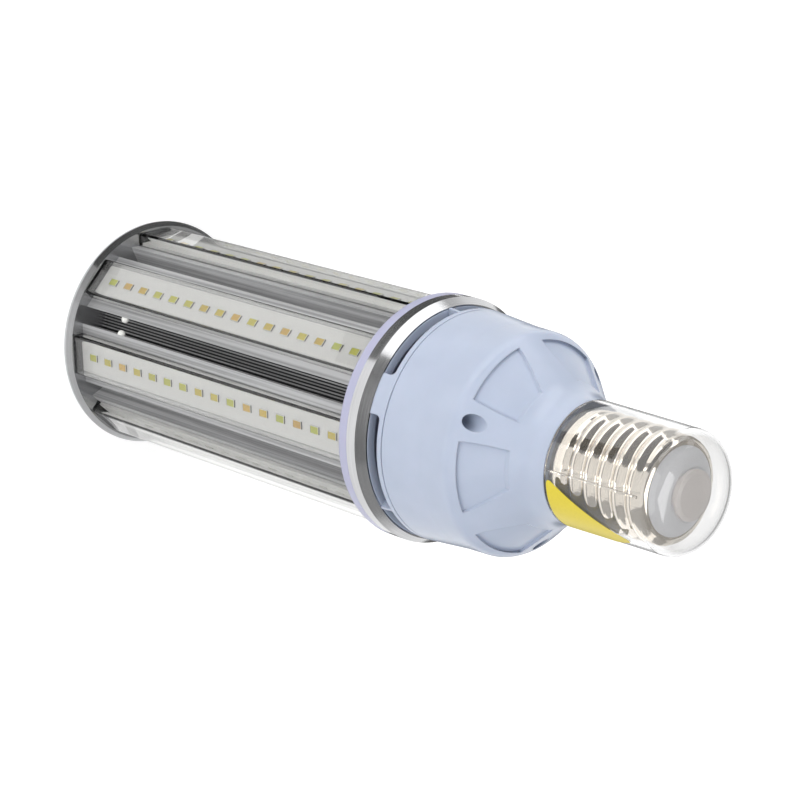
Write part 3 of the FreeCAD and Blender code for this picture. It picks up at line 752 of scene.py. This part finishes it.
def add_lamps():
    """Soft lamps on the picture's upper side, overhead, on its lower side and in front."""
    add_softbox("upper_panel", (-0.08, -0.9, 0.33), aim_height=0.15, size=(1.2, 0.36), watts=2.5)
    add_softbox("overhead_panel", (0.1, 0.1, 1.3), aim_height=0.15, size=(0.8, 0.8), watts=5.6)
    add_softbox(
        "upper_fill",
        (-0.45, -0.9, 0.8),
        aim_height=0.2,
        size=(0.9, 0.6),
        watts=3.6,
        mirrored=False,
    )
    add_softbox(
        "lower_fill",
        (0.2, 1.0, 0.3),
        aim_height=0.16,
        size=(0.9, 0.6),
        watts=1.8,
        mirrored=False,
    )
    for number, (angle, watts) in enumerate(FRONT_FILLS, 1):
        turn = math.radians(angle)
        add_softbox(
            f"front_fill_{number}",
            (math.cos(turn), math.sin(turn), FRONT_FILL_HEIGHT),
            aim_height=0.1,
            size=(0.2, 0.8),
            watts=watts,
            mirrored=False,
        )


def studio_card(name, colour, glow=0.0):
    """Matt studio card, seen only as a patch in shiny surfaces."""
    material, tree, shader = new_material(
        name, Base_Color=linear(colour), Emission_Color=linear(colour), Emission_Strength=glow
    )
    grain = stretched_noise(tree, (5.0, 5.0, 5.0))
    vary(tree, shader, grain, (0.9, 1.0))
    return material


def add_flag(name, card, radii, angles, levels=(CARD_LEVEL, CARD_LEVEL), through_clear=False):
    """A curved card round the axis, between two angles: flat on the floor, or standing."""
    inner, outer = radii
    bottom, top = levels
    first, last = angles
    deselect()
    bpy.ops.mesh.primitive_circle_add(vertices=96, radius=inner, location=(0, 0, bottom))
    flag = bpy.context.object
    flag.name = name
    settle(flag)
    edit(flag)
    bpy.ops.mesh.select_all(action="SELECT")
    bpy.ops.mesh.extrude_region_move(TRANSFORM_OT_translate={"value": (0, 0, top - bottom)})
    bpy.ops.transform.resize(value=(outer / inner, outer / inner, 1.0), center_override=(0, 0, 0))
    for angle, way in ((first, -1.0), (last, 1.0)):
        turn = math.radians(angle)
        bpy.ops.mesh.select_all(action="SELECT")
        bpy.ops.mesh.bisect(
            plane_co=(0, 0, 0),
            plane_no=(-math.sin(turn) * way, math.cos(turn) * way, 0),
            clear_outer=True,
        )
    bpy.ops.object.mode_set(mode="OBJECT")
    flag.data.materials.append(card)
    flag.visible_camera = False
    flag.visible_diffuse = False
    flag.visible_shadow = False
    flag.visible_transmission = through_clear


def add_cards():
    """Cards that only shiny surfaces see: they draw the dark and pale bands in the metal."""
    dark = studio_card("dark_studio_card", "#585858")
    grey = studio_card("grey_studio_card", "#8C8C8C")
    pale = studio_card("pale_studio_card", "#E8E8E8", glow=0.25)
    # Flat on the floor: for the trim ring, the strips, a groove, the screw shell and the cap
    add_flag("trim_card", dark, radii=(0.185, 0.235), angles=(-165, -55))
    add_flag("strip_card", dark, radii=(0.058, 0.184), angles=(-150, -100))
    add_flag("groove_card", dark, radii=(0.058, 0.184), angles=(-36, -8))
    add_flag("skirt_card", dark, radii=(0.285, 0.318), angles=(-160, -58), through_clear=True)
    add_flag("crest_card", dark, radii=(0.318, 0.37), angles=(-66, -44), through_clear=True)
    add_flag("cap_card", dark, radii=(0.14, 0.42), angles=(120, 190))
    # Close round the end plate: its rim is dark on one side and grows paler to the other
    rim_radii = (RIM_CARD_RADIUS, RIM_CARD_RADIUS)
    add_flag("edge_card", dark, radii=(0.0462, 0.049), angles=(-150, -50))
    add_flag("rim_card", dark, rim_radii, angles=(-140, -50), levels=RIM_CARD_LEVELS)
    for number, (glow, first, last) in enumerate(RIM_GLOWS, 1):
        graded = studio_card(f"graded_studio_card_{number}", "#E8E8E8", glow)
        add_flag(f"rim_reflector_{number}", graded, rim_radii, (first, last), RIM_CARD_LEVELS)
    # Standing in front: the screw base mirrors them, out through the clear cap
    front_radii = (FRONT_CARD_RADIUS, FRONT_CARD_RADIUS)
    front_cards = (
        ("thread_card", dark, (-125, -44), (0.37, 0.75)),
        ("horizon_card", grey, (-44, 30), (0.28, 0.345)),
        ("tip_card", pale, (-44, 30), (0.345, 0.75)),
    )
    for name, card, angles, levels in front_cards:
        add_flag(name, card, front_radii, angles, levels, through_clear=True)
    # Standing high up, further out
    upper_radii = (UPPER_CARD_RADIUS, UPPER_CARD_RADIUS)
    add_flag("upper_card", dark, upper_radii, angles=(-150, -40), levels=(0.6, 1.6))


def place_camera():
    """The camera that took the photo, at its place and turn."""
    camera_data = bpy.data.cameras.new("photo_camera")
    camera_data.sensor_fit = "HORIZONTAL"
    camera_data.sensor_width = SENSOR_MM
    camera_data.lens = FOCAL_PIXELS / PICTURE_PIXELS * SENSOR_MM
    camera_data.clip_start = 0.05
    camera_data.clip_end = 20.0
    camera = bpy.data.objects.new("photo_camera", camera_data)
    bpy.context.scene.collection.objects.link(camera)
    right = CAMERA_RIGHT.normalized()
    up = -CAMERA_DOWN.normalized()
    back = right.cross(up).normalized()
    turned = Matrix((right, up, back)).transposed().to_4x4()
    camera.matrix_world = Matrix.Translation(CAMERA_PLACE_MM * MM) @ turned
    bpy.context.scene.camera = camera


bpy.context.scene.view_settings.view_transform = "Standard"

# The cap's clear plastic, which its parting line shares
clear_cap = clear_plastic("clear_moulded_cap", "#F8F8F8", wave_mm=(9.0, 9.0, 14.0))

# Metal that shows: the plate is a little duller than the bright trim ring
finish(
    turned_aluminium("turned_aluminium", ("#B4B5B7", "#D0D0D1"), (0.2, 0.3), metallic=0.95),
    "end_plate",
)
finish(
    turned_aluminium("bright_turned_aluminium", ("#ACADAF", "#CECECF"), (0.1, 0.2)),
    "trim_ring",
)
finish(extruded_aluminium(), "heat_sink")

# Strips: white boards under clear covers whose waves run along them
finish(coated_board(), *numbered("led_board"))
finish(
    clear_plastic("clear_extruded_cover", "#F4F4F3", wave_mm=(6.0, 6.0, 60.0)),
    *numbered("lens_cover"),
)
finish(clear_cap, "protective_cap")

# Silicone sealant: matt white with a soft gloss
finish(plain_finish("white_silicone", ("#EDEDE8", "#FAFAF6"), (0.4, 0.6)), "sealant_beads")

# Plastic mouldings: a lilac collar, and a bluer, glossier housing
finish(moulded_plastic("lilac_moulding", ("#AAABC4", "#B6B7D0"), (0.25, 0.35)), "collar")
finish(
    moulded_plastic("pale_housing_moulding", ("#ABB5C8", "#B7C0D3"), (0.18, 0.28)),
    "vent_ring",
    "driver_housing",
)

# Zinc plated steel: pale grey and softly shiny
finish(
    plain_finish("zinc_plated_steel", ("#B4B6B8", "#D4D5D6"), (0.25, 0.4), metallic=1.0),
    "end_plate_screws",
    "housing_screws",
)

# Tinned contact: almost white, with only a trace of metal. Insulator: pale satin grey. Both are
# painted light, paler than the real tin and grey to make up for light the clear cap keeps off them
finish(
    plain_finish("tinned_contact", ("#ECE6E2", "#F6F0EC"), (0.3, 0.45), metallic=0.1),
    "centre_contact",
)
finish(plain_finish("grey_insulator", ("#DADADC", "#E8E8EA"), (0.3, 0.45)), "base_insulator")

# Driver parts: satin green laminate, yellow tape, dull black ferrite, glossy dark sleeves, red leads
finish(plain_finish("green_laminate", ("#1E5A38", "#2A7048"), (0.3, 0.45)), "driver_board")
finish(
    plain_finish("winding_tape", ("#CFAE3A", "#DEC050"), (0.35, 0.5), grain_mm=2.0),
    "transformer",
)
finish(plain_finish("dipped_ferrite", ("#242426", "#333336"), (0.4, 0.6)), "choke")
finish(plain_finish("shrunk_sleeve", ("#171A26", "#232838"), (0.2, 0.35)), "filter_capacitors")
finish(
    plain_finish("red_lead_sheath", ("#A61E1A", "#BC2A24"), (0.35, 0.5)),
    "input_leads",
    "output_leads",
)

# Chip ends: soldered leads, dull grey metal, made darker as painted shade on the end faces. Vinyl
# label: even, satin yellow
make_led_rows(
    led_package(),
    phosphor(),
    plain_finish("leads_and_painted_shade", ("#5A5648", "#7A7566"), (0.3, 0.45), metallic=1.0),
)
make_rolled_shell(rolled_nickel())
make_cap_seam(clear_cap)
make_cap_label(plain_finish("yellow_vinyl", ("#D6C224", "#E2CE34"), (0.3, 0.4)))
make_floor()
make_room()
add_lamps()
add_cards()
place_camera()
